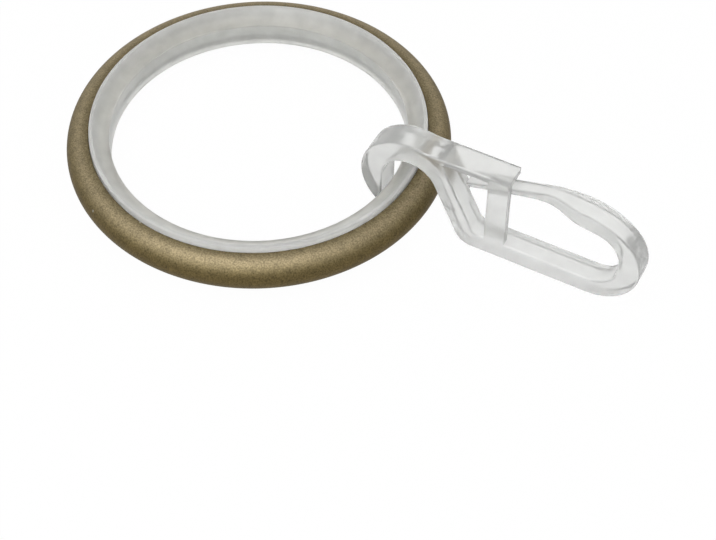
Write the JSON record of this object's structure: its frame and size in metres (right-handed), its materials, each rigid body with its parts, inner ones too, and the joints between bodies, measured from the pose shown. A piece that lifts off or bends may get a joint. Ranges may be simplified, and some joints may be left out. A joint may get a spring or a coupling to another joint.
{
  "type": "curtain ring",
  "caption": "Curtain ring of half-round bronze-finished metal channel with a frosted plastic glide liner, and a clear plastic pleat hook that swings on it.",
  "frame": {"origin": "middle of the ring's opening, halfway up the ring", "axes": "+Z along the rod, up when the ring lies flat; +X from the ring's middle along the hook to its round end"},
  "size_m": [0.0628, 0.04, 0.0109],
  "materials": {
    "bronze_metal": "satin",
    "frosted_plastic": "frosted",
    "clear_plastic": "clear"
  },
  "bodies": {
    "ring": {"metal_ring": "bronze_metal", "glide_liner": "frosted_plastic"},
    "hook": {"pleat_hook": "clear_plastic"}
  },
  "joints": [
    {"name": "hook_swing", "type": "hinge", "parent": "ring", "child": "hook", "pos_m": [0.01775, 0, 0], "axis": [0, -1, 0], "range_deg": [-90, 90]}
  ]
}
